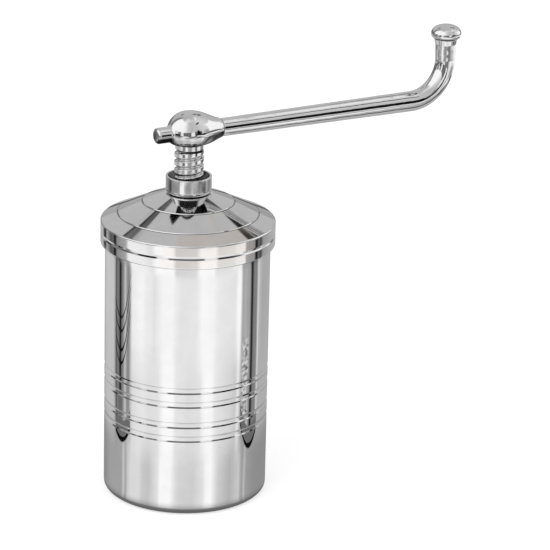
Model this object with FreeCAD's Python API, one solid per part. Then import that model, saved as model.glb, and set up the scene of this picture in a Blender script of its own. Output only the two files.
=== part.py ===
import FreeCAD, Part
import math
import os

os.makedirs("parts", exist_ok=True)

# Sev press: a barrel with a die plate in its mouth, a screwed lid, a drive screw through a collar in
# the lid, a piston that swivels on the screw's end, and a bent crank with a ball hub.
# Millimetres. +Z up, the origin in the middle of the ring that the barrel stands on, the crank arm along +X.

V = FreeCAD.Vector
UP = V(0, 0, 1)
ALONG_ARM = V(1, 0, 0)

# Clearances
running_gap = 0.1        # between a shaft and its bore, and the swivel's play along the spindle
fixed_gap = 0.05         # between pieces that are pressed or screwed together
sliding_gap = 0.35       # between the piston and the bore of the barrel
plate_gap = 0.3          # round the die plate, so that it drops out
seat_gap = 0.25          # between the lid's cone and the barrel's rim
stop_gap = 0.5           # left between piston and die plate when the crank is screwed right down
hub_stop_gap = 0.34      # left between hub and collar then
thread_gap = 0.25        # between the drive screw's thread and the collar's, outwards
thread_side_gap = 0.12   # and more room for its crests, each way along the screw

sewing_tolerance = 0.0001  # within which the thread's faces are taken to meet

# Barrel
barrel_radius = 36.0
barrel_wall = 1.5
barrel_height = 123.6
barrel_corner = 3.0
lip_reach = 5.0          # how far the lip reaches in from the bore
lip_thickness = 1.8
groove_pair_heights = (38.85, 54.7)
groove_pair_spacing = 6.4
groove_width = 2.9
groove_floor = 1.4       # flat part of the groove's width
groove_depth = 0.18
bore_radius = barrel_radius - barrel_wall
mouth_radius = bore_radius - lip_reach

# Die plate
plate_thickness = 1.6
hole_radius = 1.5
hole_spacing = 9.0
hole_rings = 2           # rings of six, twelve ... holes round the middle one

# Lid
lid_radius = 38.0
lid_wall = 1.2
lid_skirt_depth = 10.3   # from the cone's edge down to the skirt's edge
lid_edge_rounding = 1.2
skirt_groove_drop = 5.3  # from the cone's edge down to the groove in the skirt
skirt_groove_width = 1.0
skirt_groove_depth = 0.35
outer_slope = math.radians(23.1)
middle_slope = math.radians(25.2)
inner_slope = math.radians(20.6)
outer_ring_radius = 30.5
inner_ring_radius = 19.85
ring_step = 0.2          # each ring stands this much proud of the cone outside it
collar_seat_radius = 10.4

# Collar, its washer and its back nut
collar_radius = 10.0
collar_height = 7.9
collar_chamfer = 1.2
collar_rim = 0.8
dish_slope = math.radians(48)   # takes in the spindle's plain neck when it is right down
collar_neck_radius = 8.0
collar_washer_radius = 9.6
collar_washer_thickness = 1.0
back_nut_flats = 19.0
back_nut_height = 3.0
neck_end = 0.5           # of the neck shows below the back nut

# Spindle, a drive screw with a single right-hand thread
spindle_radius = 6.35
thread_pitch = 3.63      # seven turns to the inch
thread_depth = 0.8
thread_crest = 1.5
thread_root = 0.8
thread_lead = 1.4        # from the last mid root on the arm's side up to the plain neck
neck_radius = 6.1        # plain neck under the hub
neck_length = 3.0
tenon_radius = 5.3       # top end, inside the hub
tenon_length = 10.3
journal_radius = 4.0     # bottom end, inside the piston

# Crank hub
hub_radius = 9.25
hub_shift = 0.75         # the ball's middle lies this far behind the spindle's axis
hub_drop = 4.6           # from the arm's axis down to the flat under the hub
lug_length = 14.8
lug_end_radius = 4.4
lug_swell = 7.0          # how far the ball's top runs on towards the lug's end
lug_draw = 4.6           # how far back from its end the lug starts to narrow
lug_draw_rise = 1.0      # and how much thicker it aims there
nub_radius = 3.5
nub_length = 16.3
nub_rounding = 1.2
nub_fillet = 2.0

# Crank arm and knob
shank_radius = 3.1
shank_end = 7.0          # past the spindle's axis
rod_hub_radius = 3.95    # the rod grows a little from the hub to the bend
rod_radius = 4.5
bend_radius = 17.5
post_reach = 129.2
post_radius = 4.6
post_length = 9.7        # upright, from the bend to the knob
post_flare_length = 2.5
post_top_radius = 5.4
spigot_radius = 2.4
spigot_length = 3.5
knob_base_radius = 5.6
knob_radius = 6.8
knob_rim_height = 2.1    # from the post's top up to the widest place
knob_height = 6.2

# Piston
piston_rest_lift = 14.4  # above its lowest place, as the photo shows the crank
cup_sheet = 2.0
cup_wall = 1.5
cup_height = 8.0
cup_corner = 2.0
well_radius = 12.5
well_height = 5.0
well_taper = 1.5
bush_radius = 6.0
bush_flange_radius = 10.0
bush_flange_thickness = 1.5
washer_radius = 9.0
thrust_washer_thickness = 1.5
retaining_washer_thickness = 1.0
retaining_nut_flats = 13.0
retaining_nut_height = 3.2

# Heights that follow
plate_bottom = lip_thickness
plate_top = plate_bottom + plate_thickness
lid_edge_height = (barrel_height + seat_gap + lid_wall / math.cos(outer_slope)
                   - (lid_radius - barrel_radius) * math.tan(outer_slope))
skirt_bottom = lid_edge_height - lid_skirt_depth
outer_ring_height = lid_edge_height + (lid_radius - outer_ring_radius) * math.tan(outer_slope)
inner_ring_height = (outer_ring_height + ring_step
                     + (outer_ring_radius - inner_ring_radius) * math.tan(middle_slope))
collar_seat = (inner_ring_height + ring_step
               + (inner_ring_radius - collar_seat_radius) * math.tan(inner_slope))
collar_top = collar_seat + collar_height
washer_top = collar_seat - lid_wall
back_nut_top = washer_top - collar_washer_thickness
back_nut_bottom = back_nut_top - back_nut_height
collar_bottom = back_nut_bottom - neck_end
hub_bottom = collar_top + hub_stop_gap + piston_rest_lift
arm_height = hub_bottom + hub_drop
post_bottom = arm_height + bend_radius
post_top = post_bottom + post_length
piston_bottom = plate_top + stop_gap + piston_rest_lift
well_underside = piston_bottom + well_height
well_top = well_underside + cup_sheet
bush_top = well_top + bush_flange_thickness
spindle_shoulder = bush_top + running_gap + thrust_washer_thickness
retaining_washer_top = well_underside - running_gap
retaining_nut_top = retaining_washer_top - retaining_washer_thickness
retaining_nut_bottom = retaining_nut_top - retaining_nut_height
neck_bottom = hub_bottom - neck_length
thread_datum = neck_bottom - thread_lead


def outline(corners):
    """Closed face in the XZ plane through corners (x, z, rounding radius)."""
    ends = []
    edges = []
    count = len(corners)
    for i, (x, z, radius) in enumerate(corners):
        here = V(x, 0, z)
        before = V(corners[i - 1][0], 0, corners[i - 1][1])
        after = V(corners[(i + 1) % count][0], 0, corners[(i + 1) % count][1])
        if radius == 0:
            ends.append((here, here))
            continue
        back = (before - here).normalize()
        ahead = (after - here).normalize()
        middle = (back + ahead).normalize()
        half_angle = math.acos(back.dot(ahead)) / 2
        start = here + back * (radius / math.tan(half_angle))
        end = here + ahead * (radius / math.tan(half_angle))
        crown = here + middle * (radius / math.sin(half_angle) - radius)
        edges.append(Part.Arc(start, crown, end).toShape())
        ends.append((start, end))
    for i in range(count):
        edges.append(Part.makeLine(ends[i - 1][1], ends[i][0]))
    return Part.Face(Part.Wire(Part.__sortEdges__(edges)))


def turned(corners):
    """Solid turned about the Z axis from corners (radius, height, rounding radius)."""
    return outline(corners).revolve(V(0, 0, 0), UP, 360)


def ring(outer, inner, bottom, top):
    """Flat ring between two heights."""
    return turned([(inner, bottom, 0), (outer, bottom, 0), (outer, top, 0), (inner, top, 0)])


def rod_between(radius, start, end):
    """Round bar from one point to another."""
    return Part.makeCylinder(radius, (end - start).Length, start, end - start)


def hexagon_nut(flats, bore, bottom, top):
    """Hexagon nut standing on its face, with a plain bore."""
    corner_radius = flats / math.sqrt(3)
    turns = [math.radians(60 * k) for k in range(7)]
    corners = [V(corner_radius * math.cos(turn), corner_radius * math.sin(turn), bottom) for turn in turns]
    body = Part.Face(Part.makePolygon(corners)).extrude(V(0, 0, top - bottom))
    return body.cut(rod_between(bore, V(0, 0, bottom), V(0, 0, top)))


def helix_turn(radius, height):
    """One right-hand turn of a helix that starts on the +X side."""
    edge = Part.makeHelix(thread_pitch, thread_pitch, radius).Edges[0].copy()
    edge.translate(V(0, 0, height))
    return edge


def thread_stations(outwards=0.0, sideways=0.0):
    """Corners (radius, height) of one pitch of the thread, from mid root to mid root, with room round it."""
    root = spindle_radius - thread_depth + outwards
    crest = spindle_radius + outwards
    flank = (thread_pitch - thread_crest - thread_root) / 2
    half_root = thread_root / 2 - sideways
    return [
        (root, 0),
        (root, half_root),
        (crest, half_root + flank),
        (crest, thread_pitch - half_root - flank),
        (root, thread_pitch - half_root),
        (root, thread_pitch),
    ]


def threaded_rod(stations, bottom, top):
    """Rod with a helical ridge that reaches past two heights. Its stations are corners (radius, height) over
    one pitch. The turns of all such rods are in step with one datum, so that a screw meshes with its nut."""
    turns_below = math.ceil((thread_datum - bottom) / thread_pitch) + 1
    start = thread_datum - turns_below * thread_pitch
    turns = math.ceil((top - start) / thread_pitch) + 1
    end = start + turns * thread_pitch
    faces = []
    for turn in range(turns):
        foot = start + turn * thread_pitch
        lines = [helix_turn(radius, foot + height) for radius, height in stations]
        faces += [Part.makeRuledSurface(low, high) for low, high in zip(lines, lines[1:])]
    for foot in (start, end):
        axis_foot = V(0, 0, foot)
        axis_head = V(0, 0, foot + thread_pitch)
        axis = Part.makeLine(axis_foot, axis_head)
        faces.append(Part.makeRuledSurface(axis, helix_turn(stations[0][0], foot)))
        profile = [V(radius, 0, foot + height) for radius, height in stations]
        faces.append(Part.Face(Part.makePolygon([axis_foot] + profile + [axis_head, axis_foot])))
    shell = Part.Compound(faces)
    shell.sewShape(sewing_tolerance)
    rod = Part.Solid(shell.Shells[0])
    if rod.Volume < 0:
        rod.reverse()
    return rod


def barrel():
    """Straight tube, rounded at the foot, with a lip turned in at its mouth and four grooves."""
    corners = [(mouth_radius, 0, 0), (barrel_radius, 0, barrel_corner)]
    for pair in groove_pair_heights:
        for height in (pair - groove_pair_spacing / 2, pair + groove_pair_spacing / 2):
            corners += [(barrel_radius, height - groove_width / 2, 0),
                        (barrel_radius - groove_depth, height - groove_floor / 2, 0),
                        (barrel_radius - groove_depth, height + groove_floor / 2, 0),
                        (barrel_radius, height + groove_width / 2, 0)]
    corners += [(barrel_radius, barrel_height, 0),
                (bore_radius, barrel_height, 0),
                (bore_radius, lip_thickness, 0),
                (mouth_radius, lip_thickness, 0)]
    return turned(corners)


def die_plate():
    """Round plate with holes on a triangular grid: one, ringed by six, ringed by twelve."""
    plate = rod_between(bore_radius - plate_gap, V(0, 0, plate_bottom), V(0, 0, plate_top))
    row_pitch = hole_spacing * math.sin(math.radians(60))
    holes = []
    for row in range(-hole_rings, hole_rings + 1):
        for place in range(2 * hole_rings + 1 - abs(row)):
            x = (place - hole_rings + abs(row) / 2) * hole_spacing
            y = row * row_pitch
            holes.append(rod_between(hole_radius, V(x, y, plate_bottom), V(x, y, plate_top)))
    return plate.cut(Part.Compound(holes))


def lid():
    """Spun sheet: a skirt with one groove, a cone in three steps and a flat seat for the collar."""
    inner_skirt = lid_radius - lid_wall
    under_outer = lid_wall / math.cos(outer_slope)
    under_middle = lid_wall / math.cos(middle_slope)
    under_inner = lid_wall / math.cos(inner_slope)
    hole = collar_neck_radius + fixed_gap
    groove = lid_edge_height - skirt_groove_drop
    return turned([
        (inner_skirt, skirt_bottom, 0),
        (lid_radius, skirt_bottom, 0),
        (lid_radius, groove - skirt_groove_width / 2, 0),
        (lid_radius - skirt_groove_depth, groove, 0),
        (lid_radius, groove + skirt_groove_width / 2, 0),
        (lid_radius, lid_edge_height, lid_edge_rounding),
        (outer_ring_radius, outer_ring_height, 0),
        (outer_ring_radius, outer_ring_height + ring_step, 0),
        (inner_ring_radius, inner_ring_height, 0),
        (inner_ring_radius, inner_ring_height + ring_step, 0),
        (collar_seat_radius, collar_seat, 0),
        (hole, collar_seat, 0),
        (hole, washer_top, 0),
        (collar_seat_radius - lid_wall * math.tan(inner_slope / 2), washer_top, 0),
        (inner_ring_radius, inner_ring_height + ring_step - under_inner, 0),
        (outer_ring_radius, outer_ring_height + ring_step - under_middle, 0),
        (inner_skirt, lid_edge_height + lid_wall * math.tan(outer_slope) - under_outer, 0),
    ])


def drive_nut():
    """Threaded collar that stands on the lid, with a dished top, and its neck that goes down through it."""
    dish_radius = collar_radius - collar_rim
    body = turned([
        (0, collar_bottom, 0),
        (collar_neck_radius, collar_bottom, 0),
        (collar_neck_radius, collar_seat, 0),
        (collar_radius - collar_chamfer, collar_seat, 0),
        (collar_radius, collar_seat + collar_chamfer, 0),
        (collar_radius, collar_top, 0),
        (dish_radius, collar_top, 0),
        (0, collar_top - dish_radius * math.tan(dish_slope), 0),
    ])
    screw_room = threaded_rod(thread_stations(thread_gap, thread_side_gap), collar_bottom, collar_top)
    return body.cut(screw_room)


def collar_washer():
    """Washer between the lid's sheet and the back nut."""
    return ring(collar_washer_radius, collar_neck_radius + fixed_gap, back_nut_top, washer_top)


def collar_back_nut():
    """Thin hexagon nut that clamps the collar in the lid."""
    return hexagon_nut(back_nut_flats, collar_neck_radius + fixed_gap, back_nut_bottom, back_nut_top)


def spindle():
    """Drive screw, with a tenon for the hub above and a journal for the piston below."""
    tenon_top = hub_bottom + tenon_length
    length = rod_between(2 * spindle_radius, V(0, 0, spindle_shoulder), V(0, 0, neck_bottom))
    screw = threaded_rod(thread_stations(), spindle_shoulder, neck_bottom).common(length)
    neck = rod_between(neck_radius, V(0, 0, neck_bottom), V(0, 0, hub_bottom))
    tenon = rod_between(tenon_radius, V(0, 0, hub_bottom), V(0, 0, tenon_top))
    journal = rod_between(journal_radius, V(0, 0, retaining_nut_bottom), V(0, 0, spindle_shoulder))
    cross_hole = rod_between(shank_radius + fixed_gap,
                             V(-hub_radius, 0, arm_height), V(hub_radius, 0, arm_height))
    return screw.fuse([journal, neck, tenon.cut(cross_hole)])


def curve(poles):
    """Smooth edge in the XZ plane that starts and ends along the first and last of its control lines."""
    bezier = Part.BezierCurve()
    bezier.setPoles([V(x, 0, z) for x, z in poles])
    return bezier.toShape()


def hub_outline():
    """Half section of the hub in the XZ plane, above its own axis: nub, fillet, ball and drop-shaped lug."""
    ball_centre = V(-hub_shift, 0, 0)
    reach = math.sqrt((hub_radius + nub_fillet) ** 2 - (nub_radius + nub_fillet) ** 2)
    fillet_centre = ball_centre + V(-reach, 0, nub_radius + nub_fillet)
    to_fillet = (fillet_centre - ball_centre).normalize()
    ball_start = ball_centre + to_fillet * hub_radius
    ball_top = ball_centre + UP * hub_radius
    ball_crown = ball_centre + (to_fillet + UP).normalize() * hub_radius
    fillet_start = fillet_centre - UP * nub_fillet
    fillet_crown = fillet_centre - (to_fillet + UP).normalize() * nub_fillet
    nub_shoulder = V(-nub_length + nub_rounding, 0, nub_radius)
    nub_face = V(-nub_length, 0, nub_radius - nub_rounding)
    nub_crown = nub_shoulder - UP * nub_rounding + V(-1, 0, 1).normalize() * nub_rounding
    edges = [
        Part.makeLine(V(-nub_length, 0, 0), nub_face),
        Part.Arc(nub_face, nub_crown, nub_shoulder).toShape(),
        Part.makeLine(nub_shoulder, fillet_start),
        Part.Arc(fillet_start, fillet_crown, ball_start).toShape(),
        Part.Arc(ball_start, ball_crown, ball_top).toShape(),
        curve([(ball_top.x, hub_radius),
               (ball_top.x + lug_swell, hub_radius),
               (lug_length - lug_draw, lug_end_radius + lug_draw_rise),
               (lug_length, lug_end_radius)]),
        Part.makeLine(V(lug_length, 0, lug_end_radius), V(lug_length, 0, 0)),
        Part.makeLine(V(lug_length, 0, 0), V(-nub_length, 0, 0)),
    ]
    return Part.Face(Part.Wire(edges))


def crank_hub():
    """Cast ball with a drop-shaped lug for the rod and a nub opposite, bored for rod and spindle."""
    body = hub_outline().revolve(V(0, 0, 0), ALONG_ARM, 360)
    body.translate(V(0, 0, arm_height))
    below = rod_between(nub_length, V(0, 0, arm_height - nub_length), V(0, 0, hub_bottom))
    tenon_socket = rod_between(tenon_radius + fixed_gap,
                               V(0, 0, hub_bottom), V(0, 0, hub_bottom + tenon_length + fixed_gap))
    shank_socket = rod_between(shank_radius + fixed_gap,
                               V(-shank_end - fixed_gap, 0, arm_height), V(lug_length, 0, arm_height))
    return body.cut([below, tenon_socket, shank_socket])


def crank_arm():
    """Bent rod: a thin shank through hub and spindle, a level arm, a bend and a flared post with a spigot."""
    shoulder = V(lug_length, 0, arm_height)
    bend_start = V(post_reach - bend_radius, 0, arm_height)
    bend_centre = bend_start + UP * bend_radius
    bend_end = bend_centre + ALONG_ARM * bend_radius
    bend_crown = bend_centre + V(1, 0, -1).normalize() * bend_radius
    shank = rod_between(shank_radius, V(-shank_end, 0, arm_height), shoulder)
    level = Part.makeCone(rod_hub_radius, rod_radius, (bend_start - shoulder).Length, shoulder, ALONG_ARM)
    bend_path = Part.Wire(Part.Arc(bend_start, bend_crown, bend_end).toShape())
    section = Part.Wire(Part.makeCircle(rod_radius, bend_start, ALONG_ARM))
    bend = bend_path.makePipeShell([section], True, False)
    post = turned([
        (0, bend_end.z, 0),
        (rod_radius, bend_end.z, 0),
        (post_radius, post_top - post_flare_length, 0),
        (post_top_radius, post_top, 0),
        (spigot_radius, post_top, 0),
        (spigot_radius, post_top + spigot_length, 0),
        (0, post_top + spigot_length, 0),
    ])
    post.translate(ALONG_ARM * post_reach)
    return shank.fuse([level, bend, post])


def grip_knob():
    """Mushroom knob: a rounded rim over the post's flare, a domed top, and a blind hole for the spigot."""
    rim = post_top + knob_rim_height
    top = post_top + knob_height
    dome_pull = (top - rim) / 2
    edges = [
        Part.makeLine(V(0, 0, post_top), V(knob_base_radius, 0, post_top)),
        curve([(knob_base_radius, post_top),
               (knob_radius, post_top + knob_rim_height / 4),
               (knob_radius, rim)]),
        curve([(knob_radius, rim),
               (knob_radius, rim + dome_pull),
               (knob_radius - dome_pull, top),
               (0, top)]),
        Part.makeLine(V(0, 0, top), V(0, 0, post_top)),
    ]
    knob = Part.Face(Part.Wire(edges)).revolve(V(0, 0, 0), UP, 360)
    hole_top = post_top + spigot_length + fixed_gap
    knob = knob.cut(rod_between(spigot_radius + fixed_gap, V(0, 0, post_top), V(0, 0, hole_top)))
    knob.translate(ALONG_ARM * post_reach)
    return knob


def piston_cup():
    """Pressed cup that fits the bore, with a raised well in the middle that hides the nut."""
    outer = bore_radius - sliding_gap
    hole = bush_radius + fixed_gap
    floor_top = piston_bottom + cup_sheet
    return turned([
        (well_radius, piston_bottom, 0),
        (outer, piston_bottom, cup_corner),
        (outer, piston_bottom + cup_height, 0),
        (outer - cup_wall, piston_bottom + cup_height, 0),
        (outer - cup_wall, floor_top, 0),
        (well_radius + cup_sheet, floor_top, 0),
        (well_radius + cup_sheet - well_taper, well_top, 0),
        (hole, well_top, 0),
        (hole, well_underside, 0),
        (well_radius - well_taper, well_underside, 0),
    ])


def piston_bush():
    """Flanged bush in the piston's well, in which the spindle's end turns."""
    bore = journal_radius + running_gap
    return turned([
        (bore, well_underside, 0),
        (bush_radius, well_underside, 0),
        (bush_radius, well_top, 0),
        (bush_flange_radius, well_top, 0),
        (bush_flange_radius, bush_top, 0),
        (bore, bush_top, 0),
    ])


def thrust_washer():
    """Washer that takes the pressing force from the spindle's shoulder to the bush."""
    return ring(washer_radius, journal_radius + fixed_gap,
                spindle_shoulder - thrust_washer_thickness, spindle_shoulder)


def retaining_washer():
    """Washer that lifts the piston when the crank is turned back."""
    return ring(washer_radius, journal_radius + fixed_gap, retaining_nut_top, retaining_washer_top)


def retaining_nut():
    """Hexagon nut on the spindle's end."""
    return hexagon_nut(retaining_nut_flats, journal_radius + fixed_gap,
                       retaining_nut_bottom, retaining_nut_top)


pieces = (barrel, die_plate, lid, drive_nut, collar_washer, collar_back_nut, spindle, crank_hub, crank_arm,
          grip_knob, piston_cup, piston_bush, thrust_washer, retaining_washer, retaining_nut)
for piece in pieces:
    shape = piece()
    shape.exportStep(f"parts/{piece.__name__}.step")
    print(f"{piece.__name__}: {len(shape.Solids)} solid, {shape.Volume:.0f} mm3, sound {shape.isValid()}")
print(f"lid edge {lid_edge_height:.2f}, rings {outer_ring_height:.2f} {inner_ring_height:.2f}, "
      f"collar {collar_seat:.2f} to {collar_top:.2f}, hub bottom {hub_bottom:.2f}")
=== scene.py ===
import math
import bmesh
import bpy
import numpy as np
from mathutils import Matrix, Vector


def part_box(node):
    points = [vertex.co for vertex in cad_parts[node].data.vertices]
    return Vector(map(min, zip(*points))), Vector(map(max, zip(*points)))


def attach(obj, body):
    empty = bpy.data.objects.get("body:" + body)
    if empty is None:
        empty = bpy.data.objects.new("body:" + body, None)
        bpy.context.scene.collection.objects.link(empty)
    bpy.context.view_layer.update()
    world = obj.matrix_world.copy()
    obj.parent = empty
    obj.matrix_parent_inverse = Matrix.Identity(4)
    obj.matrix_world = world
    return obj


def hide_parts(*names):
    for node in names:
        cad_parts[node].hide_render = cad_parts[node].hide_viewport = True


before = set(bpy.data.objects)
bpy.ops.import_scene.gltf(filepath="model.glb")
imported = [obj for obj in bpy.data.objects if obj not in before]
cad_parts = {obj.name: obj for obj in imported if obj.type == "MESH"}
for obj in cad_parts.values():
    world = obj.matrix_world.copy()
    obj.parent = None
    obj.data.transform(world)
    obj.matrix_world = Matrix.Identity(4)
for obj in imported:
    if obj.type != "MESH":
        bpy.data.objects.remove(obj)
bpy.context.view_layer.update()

# Sev press in polished stainless steel. Sizes are in millimetres, and MM turns them into Blender's metres.
# The crank arm points along +X, and the drive screw's axis is the Z axis.
MM = 0.001


def span(node):
    """Lowest and highest corner of a CAD node at rest, in millimetres."""
    low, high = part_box(node)
    return np.array(low) / MM, np.array(high) / MM


# Sizes that the frame gives
barrel_high = span("barrel")[1]
lid_low, lid_high = span("lid")
nut_low, nut_high = span("drive_nut")
screw_low, screw_high = span("spindle")
hub_low, hub_high = span("crank_hub")
arm_low = span("crank_arm")[0]
knob_low, knob_high = span("grip_knob")
cup_low, cup_high = span("piston_cup")
bush_low, bush_high = span("piston_bush")
barrel_radius = barrel_high[0]
barrel_top = barrel_high[2]
lid_radius = lid_high[0]
skirt_bottom = lid_low[2]
collar_seat = lid_high[2]
collar_radius = nut_high[0]
collar_top = nut_high[2]
screw_radius = screw_high[0]
hub_bottom = hub_low[2]
lug_end = hub_high[0]
nub_end = hub_low[0]
shank_end = arm_low[0]
knob_bottom = knob_low[2]
knob_top = knob_high[2]
post_x = (knob_low[0] + knob_high[0]) / 2

# Edges and fits that several pieces share
hair_edge = 0.1
fine_edge = 0.2
soft_edge = 0.3
broad_edge = 0.4
bent_sheet = 0.8           # rounding inside a bend of thin sheet
fit = 0.05                 # room between an inner piece and the one that it sits on

# Barrel
barrel_wall = 1.5
foot_rounding = 3.0
lip_reach = 5.0
lip_thickness = 1.8
groove_heights = (35.65, 42.05, 51.5, 57.9)
groove_width = 2.9
groove_floor = 1.4
groove_depth = 0.17
groove_rounding = 0.8
neck_thread_bottom = 116.0
neck_thread_top = 121.6
neck_thread_pitch = 2.6
neck_thread_height = 0.4
neck_thread_fade = 1.2     # height over which the ridge grows at its start and dies away at its end
neck_thread_sharpness = 1.5

# Lid
sheet = 1.2
lid_edge_drop = 12.16      # from the collar's seat down to the corner of cone and skirt
lid_edge_rounding = 0.7
lid_foot_rounding = 0.5
skirt_groove_drop = 5.3
skirt_groove_width = 1.7
skirt_groove_depth = 0.12
outer_slope = math.radians(23.1)
middle_slope = math.radians(25.2)
inner_slope = math.radians(20.6)
outer_ring_radius = 30.5
inner_ring_radius = 19.85
ring_step = 0.2
ring_start = 0.15          # how far outside its radius a step of the cone begins
ring_end = 0.1             # and how far inside it the step has ended
seat_radius = 10.4
seat_rounding = 0.6

# Collar
neck_radius = 8.0
neck_thread_bore = 6.6
collar_rim = 0.8
collar_rim_rounding = 0.35
collar_dish_rounding = 0.25
collar_foot_rounding = 1.9
dish_slope = math.radians(48)

# Drive screw
thread_pitch = 3.63
thread_depth = 0.8
thread_crest = 1.9
thread_root = 0.5
thread_lead = 2.2          # from the last mid root on the arm's side up to the plain neck
thread_crest_ease = 0.1
thread_start_fade = 1.0
thread_end_fade = 0.6
screw_neck_radius = 6.1
screw_neck_length = 3.0
screw_neck_shoulder = 0.35
tenon_radius = 5.3
journal_radius = 4.0
journal_chamfer = 0.5
shoulder_height = 28.4

# Hub
hub_drop = 4.6
hub_radius = 9.25
hub_shift = 0.75           # how far the ball's middle lies behind the screw's axis
nub_radius = 3.5
nub_face_radius = 0.6
nub_rounding = 1.2
nub_fillet = 2.0
lug_start_pull = 7.0       # how far the ball's fullness is drawn out along the lug
lug_end_pull = 4.6         # how far before its end the lug has nearly its end's radius
lug_end_swell = 1.0
lug_end_radius = 4.4
lug_end_chamfer = 0.3      # along the arm
lug_end_bevel = 0.35       # towards its axis
lug_face_radius = 3.2
cut_softness = 0.35
cast_waver = 0.03
cast_waver_along = 0.9     # growth of the waver's phase per millimetre, in radians
cast_waver_round = 1.7     # and how far it swings, three times round the lug
arm_height = hub_bottom + hub_drop

# Crank rod and knob
shank_radius = 3.1
shank_chamfer = 0.5
rod_start_radius = 3.95
rod_start_rounding = 0.25
rod_start_run = 0.8        # from the rod's shoulder to where its slow growth starts
rod_start_growth = 0.01
rod_radius = 4.5
rod_waver = 0.025
rod_waver_lengths = (2.9, 7.3)
level_start = 1.5          # from the lug's end to the first ring of the level run
bend_radius = 17.5
post_radius = 4.75
post_top_radius = 5.4
flare_length = 2.5
flare_rounding = 1.5
spigot_radius = 2.4
spigot_length = 3.5
crevice = 0.35             # between the hub's lug and the rod's shoulder
knob_radius = 6.8
knob_base_radius = 5.6
knob_rim = 2.1
knob_foot_ease = 0.1       # eases the edge between the knob's base and its side
knob_foot_rise = 0.15
knob_hole_room = 0.1       # between the spigot's end and the bottom of its hole

# Piston, bush, washers and nuts
cup_wall = 1.5
cup_floor = 2.0
cup_foot_rounding = 2.0
well_radius = 11.0
well_flare = 1.5           # how much wider the well is below than above
well_wall = 2.0
well_rounding = 0.5
bush_bore = 4.1
bush_radius = 6.0
bush_flange_radius = 10.0
bore_edge = 0.15
nut_chamfer_height = 0.45
nut_face_share = 0.97      # radius of a nut's round face, as a share of half its flats

# Fineness of the meshes
ARC_STEPS = 7
GUARD = 0.12               # how near to a rounded corner a flat run gets its extra ring
PIN = 0.05                 # radius at which a rounded top closes
BLIND_PIN = 0.3            # radius at which the bottom of a blind hole closes
SHARP_CORNER = math.radians(40)
WIDE_RING = 240            # points round each kind of piece
CUP_RING = 192
BALL_RING = 160
NUT_RING = 144
KNOB_RING = 128
SMALL_RING = 96
NECK_THREAD_STEPS = 64     # points along each kind of run
PITCH_STEPS = 22
FILLET_STEPS = 14
BALL_STEPS = 56
LUG_STEPS = 48
LEVEL_STEPS = 110
BEND_STEPS = 60
KNOB_SIDE_STEPS = 20
KNOB_DOME_STEPS = 40


def rounded(corners, closed):
    """Points of a section through corners (radius, height, rounding). Each rounding is an arc that touches
    both runs, and each run has a point just inside its ends, so that the flat part's shading stays flat."""
    corners = np.array(corners, float)
    points = corners[:, :2]
    before = np.roll(points, 1, axis=0)
    after = np.roll(points, -1, axis=0)
    parts = []
    for i, (here, back, ahead) in enumerate(zip(points, before, after)):
        at_end = not closed and i in (0, len(points) - 1)
        radius = corners[i, 2]
        if at_end or radius == 0:
            arc = here[None, :]
        else:
            to_back = (back - here) / np.linalg.norm(back - here)
            to_ahead = (ahead - here) / np.linalg.norm(ahead - here)
            half = math.acos(np.clip(to_back @ to_ahead, -1, 1)) / 2
            reach = radius / math.tan(half)
            middle = (to_back + to_ahead) / np.linalg.norm(to_back + to_ahead)
            centre = here + middle * radius / math.sin(half)
            first = here + to_back * reach - centre
            last = here + to_ahead * reach - centre
            share = np.linspace(0, 1, ARC_STEPS)[:, None]
            swing = math.pi - 2 * half
            swept = np.sin((1 - share) * swing) * first + np.sin(share * swing) * last
            arc = centre + swept / math.sin(swing)
        parts.append(arc)
    path = []
    runs = len(parts) if closed else len(parts) - 1
    for i, arc in enumerate(parts):
        path.append(arc)
        if i < runs:
            start = arc[-1]
            end = parts[(i + 1) % len(parts)][0]
            length = np.linalg.norm(end - start)
            if length > 4 * GUARD:
                along = (end - start) / length
                path.append(np.array([start + along * GUARD, end - along * GUARD]))
    return np.concatenate(path)


def bezier(poles, steps):
    """Points on the curve that starts at the first pole, is drawn by the middle ones and ends at the last:
    the poles added up, each times its binomial term of the shares 1 - t and t."""
    points = [np.array(pole, float) for pole in poles]
    t = np.linspace(0, 1, steps)[:, None]
    order = len(points) - 1
    weights = [math.comb(order, k) * (1 - t) ** (order - k) * t ** k for k in range(order + 1)]
    return sum(weight * point for weight, point in zip(weights, points))


def ring_angles(columns):
    """Angles of the points of one ring."""
    return np.arange(columns) / columns * 2 * math.pi


def turn(profile, columns, centre=(0, 0)):
    """Grid of a section (radius, height) carried round an upright axis: x and y are the radius times the
    cosine and sine of the angle, z is the height."""
    angle = ring_angles(columns)
    radius = profile[:, 0:1]
    return np.stack([centre[0] + radius * np.cos(angle), centre[1] + radius * np.sin(angle),
                     np.broadcast_to(profile[:, 1:2], (len(profile), columns))], axis=2)


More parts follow.
